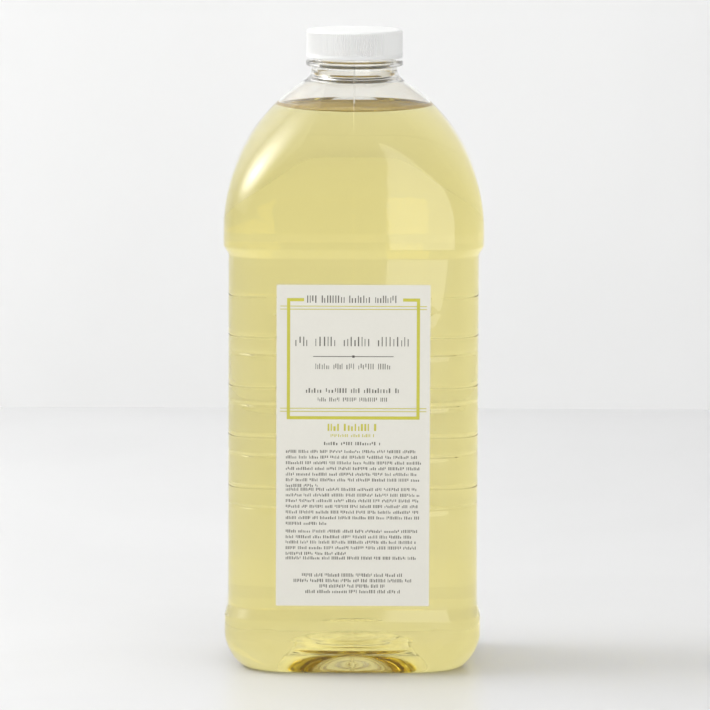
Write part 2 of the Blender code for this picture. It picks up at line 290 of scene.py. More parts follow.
# The label's print, as distances below the label's top edge
LABEL_GAP = 0.00004
INK_GAP = 0.000005
RULE_HALF_WIDTH, RULE_LINE = 0.0310, 0.00032
RULE_DROPS = (0.0091, 0.0104, 0.0526, 0.0539)
SMALL_LEFT, SMALL_WIDTH, SMALL_PITCH = -0.0284, 0.0578, 0.00243
SMALL_BLOCKS = (  # first row's drop, rows, length of the last row
    (0.0710, 7, 0.24),
    (0.0872, 7, 0.30),
    (0.1051, 2, 0.93),
    (0.1098, 3, 0.45),
    (0.1166, 1, 0.96),
)
BORDER_DROPS = (0.0057, 0.0573)
OLIVE_ROWS = (  # half-width, drop, height, stroke, spread
    (0.0108, 0.0607, 0.0030, 0.00062, 1.2),
    (0.0095, 0.0642, 0.0013, 0.00034, 1.2),
)
BLACK_ROWS = (
    (0.0196, 0.0061, 0.0031, 0.00036, 2.0),
    (0.0245, 0.0241, 0.0040, 0.00036, 3.2),
    (0.0160, 0.0347, 0.0024, 0.00028, 2.2),
    (0.0200, 0.0450, 0.0020, 0.00042, 1.6),
    (0.0150, 0.0488, 0.0017, 0.00026, 1.9),
    (0.0123, 0.0676, 0.0014, 0.00042, 1.2),
)
DIVIDER_DROP = 0.0305
FOOT_DROP = 0.1239
FOOT_HALF_WIDTHS = (0.0215, 0.0250, 0.0140, 0.0200)


def half_depth_for(half_width):
    """A soft minimum of the half-width and a limit: (w^-n + limit^-n)^(-1/n)."""
    n = DEPTH_SHARPNESS
    return (half_width**-n + DEPTH_LIMIT**-n) ** (-1 / n)


def corner_angles(half_width, half_depth, radius):
    """Directions of a ring's points: even around each corner's arc, and even along each flat."""
    turn = np.linspace(0, QUARTER, CORNER_STEPS + 1)
    arc_x = half_width - radius + radius * np.cos(turn)
    arc_y = half_depth - radius + radius * np.sin(turn)
    share = np.arange(1, FLAT_STEPS) / FLAT_STEPS * 2 - 1
    front_x, front_y = -share * arc_x[-1], np.full(FLAT_STEPS - 1, half_depth)
    side_x, side_y = np.full(FLAT_STEPS - 1, -half_width), -share * arc_y[0]
    x = np.concatenate([arc_x, front_x, -arc_x[::-1], side_x])
    y = np.concatenate([arc_y, front_y, arc_y[::-1], side_y])
    angles = np.arctan2(np.concatenate([y, -y]), np.concatenate([x, -x]))
    return angles[0] + (angles - angles[0]) % FULL


def plan_points(angles, a, b, r):
    """Rays from the middle to a rectangle a by b with corner radius r, and the outline's normal there."""
    c, s = np.abs(np.cos(angles)), np.abs(np.sin(angles))
    straight_x, straight_y = a - r, b - r
    to_side = a / np.maximum(c, 1e-9)
    to_front = b / np.maximum(s, 1e-9)
    along = c * straight_x + s * straight_y
    inside = np.maximum(along**2 - straight_x**2 - straight_y**2 + r**2, 0)
    reach = along + np.sqrt(inside)
    reach = np.where(to_front * c <= straight_x, to_front, reach)
    reach = np.where(to_side * s <= straight_y, to_side, reach)
    x, y = reach * np.cos(angles), reach * np.sin(angles)
    normal_x = np.maximum(np.abs(x) - straight_x, 0)
    normal_y = np.maximum(np.abs(y) - straight_y, 0)
    length = np.maximum(np.hypot(normal_x, normal_y), 1e-9)
    return x, y, np.sign(x) * normal_x / length, np.sign(y) * normal_y / length


def body_levels(bottle):
    """Columns z, half-width, half-depth, corner radius and evenness, from the crease to the base."""
    wide = BOTTLE_HIGH.x
    bumper_depth = half_depth_for(wide)
    panel = wide - bottle.panel_inset

    def straight(z, half_width):
        z, half_width = np.broadcast_arrays(z, half_width)
        corner = np.full(len(z), bottle.corner_radius)
        return np.stack([z, half_width, bumper_depth - wide + half_width, corner, 0 * z], -1)

    crease = (bottle.neck_crease - bottle.shoulder_start) / bottle.shoulder_rise
    up = np.sin(np.linspace(math.asin(crease), 0, 84))
    half_width = wide * (1 - up**2) ** bottle.shoulder_power
    half_depth = half_depth_for(half_width)
    roundness = smooth_step(up / crease) ** 1.5
    corner = bottle.corner_radius + (np.minimum(half_width, half_depth) - bottle.corner_radius) * roundness
    shoulder = np.stack(
        [bottle.shoulder_start + bottle.shoulder_rise * up, half_width, half_depth, corner, roundness], -1
    )

    step = np.linspace(0, 1, 22)
    ledge = straight(LEDGE_TOP + (PANEL_TOP - LEDGE_TOP) * step, wide - bottle.panel_inset * chamfer(step))
    half_groove = bottle.groove_width / 2
    edges = [PANEL_TOP - 0.0005]
    for height in GROOVE_HEIGHTS[::-1]:
        edges += [height + half_groove, height - half_groove]
    edges.append(BASE_LEDGE_TOP + 0.0005)
    runs = [
        np.linspace(high, low, 14 if place % 2 else 9, endpoint=False)
        for place, (high, low) in enumerate(zip(edges, edges[1:]))
    ]
    panels = straight(np.concatenate(runs), panel)

    base = wide - bottle.base_inset
    step = np.linspace(0, 1, 18)
    base_ledge = straight(
        BASE_LEDGE_TOP + (BASE_BUMPER_TOP - BASE_LEDGE_TOP) * step, panel + (base - panel) * chamfer(step)
    )
    bumper = straight(np.linspace(BASE_BUMPER_TOP - 0.001, HEEL_HEIGHT + 0.001, 7), base)
    turn = np.linspace(0, QUARTER, 26)
    power = 2 / bottle.heel_fullness
    heel = straight(
        HEEL_HEIGHT * (1 - np.sin(turn) ** power),
        base - HEEL_WIDTH * (1 - np.maximum(np.cos(turn), 0) ** power),
    )
    standing = straight(np.zeros(3), base - HEEL_WIDTH - STANDING_WIDTH * np.array([0.3, 0.6, 0.9]))

    inner = base - HEEL_WIDTH - STANDING_WIDTH
    inner_depth = bumper_depth - wide + inner
    step = np.linspace(0, 1, 16)
    to_circle = smooth_step(step)
    rising = np.stack(
        [
            PUSH_UP_FOOT * smooth_step(step),
            inner + (PUSH_UP_RADIUS - inner) * step,
            inner_depth + (PUSH_UP_RADIUS - inner_depth) * step,
            bottle.corner_radius + (PUSH_UP_RADIUS - bottle.corner_radius) * to_circle,
            to_circle,
        ],
        -1,
    )
    rising[:, 3] = np.minimum(rising[:, 3], np.minimum(rising[:, 1], rising[:, 2]))
    radius = np.linspace(PUSH_UP_RADIUS - 0.0006, 0.0012, 30)
    share = radius / PUSH_UP_RADIUS
    lift = PUSH_UP_FOOT + (PUSH_UP_HEIGHT - PUSH_UP_FOOT) * np.sqrt(1 - share**4)
    ripple = PUSH_UP_RIPPLE * (np.cos(FULL * radius / RIPPLE_LENGTH) - 1)
    lift = lift + ripple * smooth_step((1 - share) / 0.2)
    disc = np.stack([lift, radius, radius, radius, np.ones(30)], -1)
    return np.concatenate([shoulder, ledge, panels, base_ledge, bumper, heel, standing, rising, disc])


def groove_shape(z, x, normal_y, bottle):
    """Depth of the grooves: a cosine bell in z, full across the front, a small share at the sides."""
    away = np.abs(z[..., None] - GROOVE_HEIGHTS) / (bottle.groove_width / 2)
    bell = np.where(away < 1, 0.5 + 0.5 * np.cos(np.pi * np.minimum(away, 1)), 0)
    front = SIDE_GROOVE_SHARE + (1 - SIDE_GROOVE_SHARE) * normal_y**2
    short = smooth_step((TOP_GROOVE_HALF_LENGTH - np.abs(x)) / 0.010) * (np.abs(normal_y) > 0.99)
    share = np.stack([front] * (len(GROOVE_HEIGHTS) - 1) + [short], -1)
    return bottle.groove_depth * (bell * share).sum(-1)


def outer_rows(bottle):
    """The body's outer surface: each level's plan outline, pressed in along its normal by the grooves."""
    levels = body_levels(bottle)
    z, a, b, r, even = (levels[:, i : i + 1] for i in range(5))
    reference = corner_angles(
        BOTTLE_HIGH.x - bottle.panel_inset,
        half_depth_for(BOTTLE_HIGH.x) - bottle.panel_inset,
        bottle.corner_radius,
    )
    even_start = QUARTER / 2 - CORNER_STEPS * FULL / COLUMNS / 2
    regular = even_start + np.arange(COLUMNS) * FULL / COLUMNS
    angles = reference + (regular - reference) * even
    x, y, normal_x, normal_y = plan_points(angles, a, b, r)
    z = z + 0 * x
    depth = groove_shape(z, x, normal_y, bottle)
    return np.stack([x - normal_x * depth, y - normal_y * depth, z], -1)


def outward_normals(rows):
    """Cross product of the steps around and down the grid, made one long."""
    around = np.roll(rows, -1, axis=1) - np.roll(rows, 1, axis=1)
    down = np.gradient(rows, axis=0)
    normal = np.cross(down, around)
    return normal / np.maximum(np.linalg.norm(normal, axis=-1, keepdims=True), 1e-12)


def body_and_lining(bottle, shrink=0.0):
    """The outer rows, and every second row moved inwards by the wall's thickness plus a small shrink."""
    rows = outer_rows(bottle)
    normals = outward_normals(rows)
    height = rows[..., 2:]
    radius = np.hypot(rows[..., 0], rows[..., 1])[..., None]
    low = smooth_step((0.012 - height) / 0.012) * smooth_step((0.038 - radius) / 0.020)
    high = smooth_step((height - 0.215) / (bottle.neck_crease - 0.215))
    wall = bottle.wall * (1 + 0.7 * high) + (bottle.base_wall - bottle.wall) * low + shrink
    chosen = np.r_[0 : len(rows) - 1 : 2, len(rows) - 1]
    return rows, (rows - normals * wall)[chosen]


def neck_rows(bottle):
    """Bore, lip, threaded finish, support ring and neck, as turned rings from inside to outside."""
    lip, neck, crease = BOTTLE_HIGH.z, bottle.neck_radius, bottle.neck_crease
    crease_radius = body_levels(bottle)[0, 1]
    part = np.linspace(0.15, 0.94, 12)
    flare_radius = neck + (crease_radius - neck) * part**bottle.flare_power
    flare = np.stack([flare_radius, RING_BOTTOM + (crease - RING_BOTTOM) * part], -1)
    profile = np.concatenate(
        [
            arc(NECK_BORE_RADIUS + FILLET, crease + 0.0018, FILLET, 280, 185, 6),
            line((NECK_BORE_RADIUS, crease + 0.0026), (NECK_BORE_RADIUS, RING_BOTTOM - FILLET), 4),
            line((0.0161, RING_BOTTOM), (BORE_RADIUS, RING_BOTTOM + 0.0012), 4),
            line((BORE_RADIUS, RING_TOP), (BORE_RADIUS, lip - FILLET), 3),
            arc(BORE_RADIUS + EDGE_ROUND, lip - EDGE_ROUND, EDGE_ROUND, 165, 95, 4),
            arc(FINISH_RADIUS - EDGE_ROUND, lip - EDGE_ROUND, EDGE_ROUND, 85, 15, 4),
            line((FINISH_RADIUS, lip - 0.0009), (FINISH_RADIUS, RING_TOP + 0.0010), 56),
            arc(FINISH_RADIUS + FILLET, RING_TOP + FILLET, FILLET, 180, 260, 5),
            arc(RING_RADIUS - EDGE_ROUND, RING_TOP - EDGE_ROUND, EDGE_ROUND, 85, 5, 5),
            arc(RING_RADIUS - EDGE_ROUND, RING_BOTTOM + EDGE_ROUND, EDGE_ROUND, -5, -85, 5),
            arc(neck + EDGE_ROUND, RING_BOTTOM - EDGE_ROUND, EDGE_ROUND, 90, 180, 5),
            flare,
        ]
    )
    rows = turned_rows(profile, COLUMNS)
    angles = np.arange(COLUMNS) * FULL / COLUMNS + QUARTER / 2 - CORNER_STEPS * FULL / COLUMNS / 2
    thread = finish_thread(angles, rows[..., 2]) * (np.abs(profile[:, :1] - FINISH_RADIUS) < 1e-6)
    radius = profile[:, :1] + thread
    return np.stack([radius * np.cos(angles), radius * np.sin(angles), rows[..., 2]], -1)


def finish_thread(angles, z, bottom=0.2623, turns=1.2, height=0.00125, start=-math.pi / 3):
    """Height of a right-hand thread: a ridge at z = bottom + pitch times the turns run, faded at its ends."""
    run = ((angles - start) % FULL) / FULL
    total = np.zeros(np.broadcast(angles, z).shape)
    for whole in range(math.ceil(turns)):
        turned = run + whole
        fade = smooth_step(turned / 0.08) * smooth_step((turns - turned) / 0.08)
        phase = z - (bottom + PITCH * turned)
        total = np.maximum(total, height * fade * ridge(phase, 0.00105, 0.0005))
    return total


# ------------------------------------------------------------------ materials


def new_material(name):
    """A material with its Principled shader, and the functions' usual handles to its nodes."""
    made = bpy.data.materials.new(name)
    made.use_nodes = True
    return made, made.node_tree, made.node_tree.nodes["Principled BSDF"]


def add_node(tree, kind, label="", **values):
    """A node with its properties set."""
    node = tree.nodes.new(kind)
    node.label = label
    for key, value in values.items():
        setattr(node, key, value)
    return node


def grain_group():
    """Two sizes of noise on Object coordinates: a mask, and a normal raised by it."""
    name = "Fine grain"
    if name in bpy.data.node_groups:
        return bpy.data.node_groups[name]
    group = bpy.data.node_groups.new(name, "ShaderNodeTree")
    for title, default in (("Scale", 400.0), ("Height", 0.00002), ("Coarse share", 0.3)):
        socket = group.interface.new_socket(title, in_out="INPUT", socket_type="NodeSocketFloat")
        socket.default_value = default
    group.interface.new_socket("Mask", in_out="OUTPUT", socket_type="NodeSocketFloat")
    group.interface.new_socket("Normal", in_out="OUTPUT", socket_type="NodeSocketVector")
    start = add_node(group, "NodeGroupInput")
    end = add_node(group, "NodeGroupOutput")
    place = add_node(group, "ShaderNodeTexCoord")
    fine = add_node(group, "ShaderNodeTexNoise", "fine")
    fine.inputs["Detail"].default_value = 3
    coarse = add_node(group, "ShaderNodeTexNoise", "coarse")
    coarse.inputs["Detail"].default_value = 2
    wide = add_node(group, "ShaderNodeMath", operation="MULTIPLY")
    wide.inputs[1].default_value = 0.08
    blend = add_node(group, "ShaderNodeMix", data_type="FLOAT")
    bump = add_node(group, "ShaderNodeBump")
    bump.inputs["Strength"].default_value = 1.0
    link = group.links.new
    link(place.outputs["Object"], fine.inputs["Vector"])
    link(place.outputs["Object"], coarse.inputs["Vector"])
    link(start.outputs["Scale"], fine.inputs["Scale"])
    link(start.outputs["Scale"], wide.inputs[0])
    link(wide.outputs[0], coarse.inputs["Scale"])
    link(start.outputs["Coarse share"], blend.inputs["Factor"])
    link(fine.outputs["Fac"], blend.inputs["A"])
    link(coarse.outputs["Fac"], blend.inputs["B"])
    link(blend.outputs["Result"], end.inputs["Mask"])
    link(blend.outputs["Result"], bump.inputs["Height"])
    link(start.outputs["Height"], bump.inputs["Distance"])
    link(bump.outputs["Normal"], end.inputs["Normal"])
    return group


def grain(tree, scale, height, coarse_share):
    """One use of the grain group with its own values."""
    node = add_node(tree, "ShaderNodeGroup")
    node.node_tree = grain_group()
    node.inputs["Scale"].default_value = scale
    node.inputs["Height"].default_value = height
    node.inputs["Coarse share"].default_value = coarse_share
    return node


def map_range(tree, source, low, high, to_low, to_high):
    """Rescales a varying value from one range to another."""
    node = add_node(tree, "ShaderNodeMapRange")
    node.inputs["From Min"].default_value = low
    node.inputs["From Max"].default_value = high
    node.inputs["To Min"].default_value = to_low
    node.inputs["To Max"].default_value = to_high
    tree.links.new(source, node.inputs["Value"])
    return node.outputs["Result"]


def colour_between(tree, mask, first, second):
    """Mixes two colours by a mask."""
    node = add_node(tree, "ShaderNodeMix", data_type="RGBA")
    node.inputs["A"].default_value = (*first, 1)
    node.inputs["B"].default_value = (*second, 1)
    tree.links.new(mask, node.inputs["Factor"])
    return node.outputs["Result"]


def moulded_plastic(name, colour, roughness, grain_scale, grain_height):
    """An opaque moulded plastic: soft subsurface, a fine grain and slightly uneven gloss."""
    made, tree, shader = new_material(name)
    texture = grain(tree, grain_scale, grain_height, 0.4)
    darker = tuple(c * 0.965 for c in colour)
    tree.links.new(colour_between(tree, texture.outputs["Mask"], darker, colour), shader.inputs["Base Color"])
    rough = map_range(tree, texture.outputs["Mask"], 0.3, 0.7, roughness - 0.05, roughness + 0.07)
    tree.links.new(rough, shader.inputs["Roughness"])
    tree.links.new(texture.outputs["Normal"], shader.inputs["Normal"])
    shader.inputs["Subsurface Weight"].default_value = 0.25
    shader.inputs["Subsurface Scale"].default_value = 0.0012
    shader.inputs["Subsurface Radius"].default_value = (1.0, 0.95, 0.9)
    return made


def clear_plastic(name, ior, tint, seam):
    """Blown PET: clear, with the slow waves of a blown wall and, outside, the mould's parting line."""
    made, tree, shader = new_material(name)
    shader.inputs["Base Color"].default_value = (*tint, 1)
    shader.inputs["Transmission Weight"].default_value = 1.0
    shader.inputs["IOR"].default_value = ior
    texture = grain(tree, 60.0, 0.00004, 0.85)
    rough = map_range(tree, texture.outputs["Mask"], 0.3, 0.7, 0.0, 0.035)
    tree.links.new(rough, shader.inputs["Roughness"])
    normal = texture.outputs["Normal"]
    if seam:
        place = add_node(tree, "ShaderNodeTexCoord")
        split = add_node(tree, "ShaderNodeSeparateXYZ")
        distance = add_node(tree, "ShaderNodeMath", operation="ABSOLUTE")
        tree.links.new(place.outputs["Object"], split.inputs[0])
        tree.links.new(split.outputs["X"], distance.inputs[0])
        line_height = map_range(tree, distance.outputs[0], 0.00010, 0.00035, 1.0, 0.0)
        bump = add_node(tree, "ShaderNodeBump")
        bump.inputs["Distance"].default_value = 0.00012
        tree.links.new(line_height, bump.inputs["Height"])
        tree.links.new(normal, bump.inputs["Normal"])
        normal = bump.outputs["Normal"]
    tree.links.new(normal, shader.inputs["Normal"])
    return made


def still_liquid(name, ior, density=0.0, colour=(1, 1, 1), painted_shade=(1, 1, 1), clearness=1.0):
    """A liquid's face: its colour as absorption through the volume, and on the face a painted amber shade, a
    diffuse tint where part of the light does not pass.
    """
    made, tree, shader = new_material(name)
    # Painted shade: the base colour tints the part of the face that lets no light through.
    shader.inputs["Base Color"].default_value = (*painted_shade, 1)
    shader.inputs["Specular IOR Level"].default_value = 0.0
    shader.inputs["Transmission Weight"].default_value = clearness
    shader.inputs["Roughness"].default_value = 0.0
    shader.inputs["IOR"].default_value = ior
    if density > 0:
        absorb = add_node(tree, "ShaderNodeVolumeAbsorption")
        absorb.inputs["Density"].default_value = density
        absorb.inputs["Color"].default_value = (*colour, 1)
        tree.links.new(absorb.outputs[0], tree.nodes["Material Output"].inputs["Volume"])
    return made


def paper(name, colour):
    """Coated label paper: fibres as a faint tone, a soft sheen and a barely uneven face."""
    made, tree, shader = new_material(name)
    texture = grain(tree, 900.0, 0.000012, 0.35)
    darker = tuple(c * 0.95 for c in colour)
    tree.links.new(colour_between(tree, texture.outputs["Mask"], darker, colour), shader.inputs["Base Color"])
    tree.links.new(map_range(tree, texture.outputs["Mask"], 0.3, 0.7, 0.42, 0.58), shader.inputs["Roughness"])
    tree.links.new(texture.outputs["Normal"], shader.inputs["Normal"])
    return made


def ink(name, colour, roughness):
    """Printing ink, a little lighter where the paper's fibres show through."""
    made, tree, shader = new_material(name)
    texture = grain(tree, 1500.0, 0.000004, 0.3)
    lighter = tuple(min(c * 1.25 + 0.02, 1) for c in colour)
    mask = texture.outputs["Mask"]
    tree.links.new(colour_between(tree, mask, colour, lighter), shader.inputs["Base Color"])
    rough = map_range(tree, mask, 0.3, 0.7, roughness, roughness + 0.12)
    tree.links.new(rough, shader.inputs["Roughness"])
    return made


def pale_surface(name, colour, vein_strength):
    """A pale honed top or wall with faint, slow veins."""
    made, tree, shader = new_material(name)
    place = add_node(tree, "ShaderNodeTexCoord")
    noise = add_node(tree, "ShaderNodeTexNoise")
    noise.inputs["Scale"].default_value = 3.0
    noise.inputs["Detail"].default_value = 6
    noise.inputs["Distortion"].default_value = 1.5
    tree.links.new(place.outputs["Object"], noise.inputs["Vector"])
    darker = tuple(c * (1 - vein_strength) for c in colour)
    mask = map_range(tree, noise.outputs["Fac"], 0.35, 0.6, 0.0, 1.0)
    tree.links.new(colour_between(tree, mask, darker, colour), shader.inputs["Base Color"])
    shader.inputs["Roughness"].default_value = 0.38
    return made


# ----------------------------------------------------------------- operators


def finish_piece(obj, materials, body, slot, *nodes):
    """Gives a piece its materials, lets it ride on its body and hides the CAD nodes it stands for."""
    for made in materials:
        obj.data.materials.append(made)
    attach(obj, body)
    if nodes:
        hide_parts(*nodes)


class REFILL_OT_bottle(bpy.types.Operator):
    """Build the clear bottle"""

    bl_idname = "refill.bottle"
    bl_label = "Bottle"

    def execute(self, context):
        bottle = context.scene.refill_bottle
        soap = context.scene.refill_soap
        body, lining = body_and_lining(bottle)
        neck = neck_rows(bottle)
        rows = np.concatenate([lining[::-1], neck, body])
        wet_height = SOAP_HIGH.z + soap.meniscus_height
        wet = np.zeros(len(rows), int)
        wet[: len(lining)] = lining[::-1, :, 2].mean(axis=1) < wet_height
        obj = revolve_rows("bottle_shell", rows, wet)
        dry_plastic = clear_plastic("clear_plastic", bottle.pet_ior, bottle.tint, seam=True)
        wet_plastic = clear_plastic("wetted_plastic", bottle.pet_ior / soap.ior, bottle.tint, seam=False)
        finish_piece(obj, [dry_plastic, wet_plastic], "bottle", "clear_plastic", "bottle")
        return {"FINISHED"}


class REFILL_OT_soap(bpy.types.Operator):
    """Fill the bottle with soap"""

    bl_idname = "refill.soap"
    bl_label = "Soap"

    def execute(self, context):
        bottle = context.scene.refill_bottle
        soap = context.scene.refill_soap
        _, lining = body_and_lining(bottle, shrink=0.00003)
        level = SOAP_HIGH.z
        heights = lining[..., 2].mean(axis=1)
        below = lining[heights < level - 0.0012]

        def ring_at(height):
            place = np.searchsorted(-heights, -height)
            share = (heights[place - 1] - height) / (heights[place - 1] - heights[place])
            ring = lining[place - 1] + (lining[place] - lining[place - 1]) * share
            ring[:, 2] = height
            return ring

        seat = ring_at(level - 0.0004)
        obj = revolve_rows("soap_body", np.concatenate([seat[None], below]))
        made = still_liquid("yellow_soap", 1.0, soap.density, soap.colour)
        finish_piece(obj, [made], "bottle", "yellow_soap", "soap")

        rise = np.linspace(0, soap.meniscus_height, 8)[::-1]
        outer = np.stack([ring_at(level + height) for height in rise])
        rim = np.concatenate([outer, [ring_at(level - 0.0003)]])
        distance = soap.meniscus_reach * np.concatenate([np.linspace(0.05, 4, 26), [6, 9, 14]])
        edge = outer[0]
        radius = np.hypot(edge[:, 0], edge[:, 1])[None, :, None]
        spokes = edge[None] * (1 - distance[:, None, None] / radius)
        spokes[..., 2] = level + soap.meniscus_height * np.exp(-distance / soap.meniscus_reach)[:, None]
        rows = np.concatenate([spokes[::-1], rim])
        slots = np.concatenate([np.zeros(len(spokes), int), np.ones(len(rim), int)])
        surface = revolve_rows("soap_surface", rows, slots)
        # The top face carries the painted amber shade.
        top = still_liquid("soap_face", soap.ior, painted_shade=soap.face_shade_colour, clearness=soap.face_clearness)
        under = still_liquid("soap_join", 1.0)
        finish_piece(surface, [top, under], "bottle", "yellow_soap")
        return {"FINISHED"}


class REFILL_OT_cap(bpy.types.Operator):
    """Build the ribbed screw cap"""

    bl_idname = "refill.cap"
    bl_label = "Cap"

    def execute(self, context):
        cap = context.scene.refill_cap
        low, high, wide = CAP_LOW.z, CAP_HIGH.z, CAP_HIGH.x
        bore, under = cap.bore_radius, high - cap.plate
        corner = cap.edge_round
        profile = np.concatenate(
            [
                line((0.002, under), (bore - 0.0012, under), 4),
                arc(bore - 0.0006, under - 0.0006, 0.0006, 80, 5, 5),
                line((bore, under - 0.0010), (bore, low + 0.0006), 46),
                arc(bore + 0.0004, low + 0.0004, 0.0004, 190, 265, 5),
                arc(wide - 0.0004, low + 0.0004, 0.0004, -85, -5, 5),
                line((wide, low + 0.0006), (wide, low + cap.band - 0.0001), 4),
                line((wide, low + cap.band), (wide, high - corner - 0.0002), 16),
                arc(wide - corner, high - corner, corner, 2, 88, 16),
                line((wide - corner - 0.0004, high), (0.002, high), 4),
            ]
        )
        columns = cap.ribs * 6
        rows = turned_rows(profile, columns)
        angles = np.arange(columns) * FULL / columns
        radius, z = profile[:, :1], rows[..., 2]
        on_bore = np.abs(radius - bore) < 1e-6
        under_thread = finish_thread(angles, z + PITCH / 2, turns=1.0, height=0.0012)
        in_band = smooth_step((z - low - cap.band) / 0.0005)
        in_band = in_band * smooth_step((high - corner * 0.35 - z) / 0.0011)
        valley = 0.5 - 0.5 * np.cos(cap.ribs * angles)
        ribs = cap.rib_depth * valley**0.8 * in_band * (radius > wide - corner)
        radius = radius - under_thread * on_bore - ribs
        rows = np.stack([radius * np.cos(angles), radius * np.sin(angles), z], -1)
        obj = revolve_rows("screw_cap", rows)
        made = moulded_plastic("white_plastic", cap.colour, 0.36, 700.0, 0.000012)
        finish_piece(obj, [made], "cap", "white_plastic", "cap")
        return {"FINISHED"}


class REFILL_OT_liner(bpy.types.Operator):
    """Build the foam liner in the cap"""

    bl_idname = "refill.liner"
    bl_label = "Liner"

    def execute(self, context):
        low, high, wide = LINER_LOW.z, LINER_HIGH.z, LINER_HIGH.x
        bead = (high - low) / 2
        pressed = 0.0166
        profile = np.concatenate(
            [
                line((0.001, high), (wide - bead, high), 8),
                arc(wide - bead, high - bead, bead, 85, -85, 12),
                line((wide - bead, low), (0.001, low), 60),
            ]
        )
        dent = 0.00012 * np.exp(-(((profile[:, 0] - pressed) / 0.0006) ** 2)) * (profile[:, 1] < high - bead)
        profile[:, 1] += dent
        obj = revolve_rows("liner_disc", turned_rows(profile, 96))
        made = moulded_plastic("white_foam", (0.82, 0.82, 0.80), 0.75, 1800.0, 0.00006)
        finish_piece(obj, [made], "liner", "white_foam", "cap_liner")
        return {"FINISHED"}


def plates(name, rectangles, front, thickness):
    """Closed flat plates facing -Y: each (left, right, low, high) gives the eight corners of a thin block."""
    boxes = np.asarray(rectangles, float)
    left, right, low, high = boxes.T
    near, far = front, front + thickness
    outline = ((left, low), (right, low), (right, high), (left, high))
    corners = [(x, np.full(len(boxes), y), z) for y in (near, far) for x, z in outline]
    points = np.stack([np.stack(corner, -1) for corner in corners], 1).reshape(-1, 3)
    sides = np.array([[0, 1, 2, 3], [5, 4, 7, 6], [4, 5, 1, 0], [1, 5, 6, 2], [3, 2, 6, 7], [4, 0, 3, 7]])
    faces = (np.arange(len(boxes))[:, None, None] * 8 + sides).reshape(-1, 4)
    return object_from(name, points, faces, smooth=False)


def strip(half_width, centre_z, height):
    """One rectangle centred on the label's upright middle."""
    return (-half_width, half_width, centre_z - height / 2, centre_z + height / 2)


def mark_row(rng, left, right, centre_z, height, stroke, spread=1.2):
    """Meaningless upright strokes in a row, tall and short ones, in groups with a wider gap between them.

    The gap after a stroke is about spread times the stroke's width, and three times that between groups.
    """
    marks = []
    x = left
    in_group = rng.integers(4, 11)
    low, high = centre_z - height / 2, centre_z + height / 2
    while x + stroke < right:
        width = stroke * rng.uniform(0.8, 1.5)
        cut = height * rng.choice([0.0, 0.0, 0.22, 0.35])
        at_foot = rng.random() < 0.25
        marks.append((x, x + width, low + cut * at_foot, high - cut * (not at_foot)))
        in_group -= 1
        x += width + stroke * spread * rng.uniform(0.75, 1.25)
        if in_group == 0:
            x += stroke * spread * 2
            in_group = rng.integers(4, 11)
    return marks


def centred_rows(rng, top, rows):
    """Rows of marks centred on the label, each (half-width, drop, height, stroke, spread)."""
    marks = []
    for half_width, drop, *shape in rows:
        marks += mark_row(rng, -half_width, half_width, top - drop, *shape)
    return marks


def small_print(rng, label, top):
    """The blocks of small marks under the border, and the four centred rows at the label's foot."""
    marks = []
    for first_drop, rows, last_share in SMALL_BLOCKS:
        for row in range(rows):
            right = SMALL_LEFT + SMALL_WIDTH * (last_share if row == rows - 1 else rng.uniform(0.95, 1.0))
            height = top - first_drop - row * SMALL_PITCH
            marks += mark_row(rng, SMALL_LEFT, right, height, label.small_height, label.small_stroke)
    for row, half_width in enumerate(FOOT_HALF_WIDTHS):
        height = top - FOOT_DROP - row * SMALL_PITCH * 0.97
        tall = label.small_height * 1.1
        marks += mark_row(rng, -half_width, half_width, height, tall, label.small_stroke)
    return marks


class REFILL_OT_label(bpy.types.Operator):
    """Put the label on the front panel"""

    bl_idname = "refill.label"
    bl_label = "Label"

    def execute(self, context):
        label = context.scene.refill_label
        face = label_face(context)
        width, low, high = LABEL_HIGH.x, LABEL_LOW.z, LABEL_HIGH.z
        sheet = plates("label_sheet", [(-width, width, low, high)], face, label.thickness)
        finish_piece(sheet, [paper("label_paper", label.paper)], "bottle", "label_paper", "front_label")
        return {"FINISHED"}


def label_face(context):
    """Where the front of the label's paper is, along Y."""
    bottle = context.scene.refill_bottle
    panel = -(half_depth_for(BOTTLE_HIGH.x) - bottle.panel_inset)
    return panel - LABEL_GAP - context.scene.refill_label.thickness


class REFILL_OT_print(bpy.types.Operator):
    """Print the border, the rules and the marks on the label"""

    bl_idname = "refill.print"
    bl_label = "Print"

    def execute(self, context):
        label = context.scene.refill_label
        front = label_face(context) - INK_GAP - label.ink_rise
        top = LABEL_HIGH.z
        rng = np.random.default_rng(11)
        wide, band = label.border_half_width, label.border_line
        upper, lower = (top - drop for drop in BORDER_DROPS)

        border = [
            (-wide, -label.name_gap, upper - band, upper),
            (label.name_gap, wide, upper - band, upper),
            (-wide, wide, lower, lower + band),
            (-wide, -wide + band, lower + band, upper - band),
            (wide - band, wide, lower + band, upper - band),
        ]
        piece = plates("label_border", border, front, label.ink_rise)
        finish_piece(piece, [ink("olive_ink", label.frame_ink, 0.45)], "bottle", "label_paper")

        rules = [strip(RULE_HALF_WIDTH, top - drop, RULE_LINE) for drop in RULE_DROPS]
        rules += centred_rows(rng, top, OLIVE_ROWS)
        piece = plates("label_rules", rules, front - label.ink_rise - INK_GAP, label.ink_rise)
        finish_piece(piece, [bpy.data.materials["olive_ink"]], "bottle", "label_paper")

        marks = centred_rows(rng, top, BLACK_ROWS)
        divider = top - DIVIDER_DROP
        marks += [strip(0.0170, divider, 0.0003), strip(0.0005, divider, 0.0010)]
        marks += small_print(rng, label, top)
        piece = plates("label_marks", marks, front, label.ink_rise)
        finish_piece(piece, [ink("soft_black_ink", label.text_ink, 0.5)], "bottle", "label_paper")
        return {"FINISHED"}


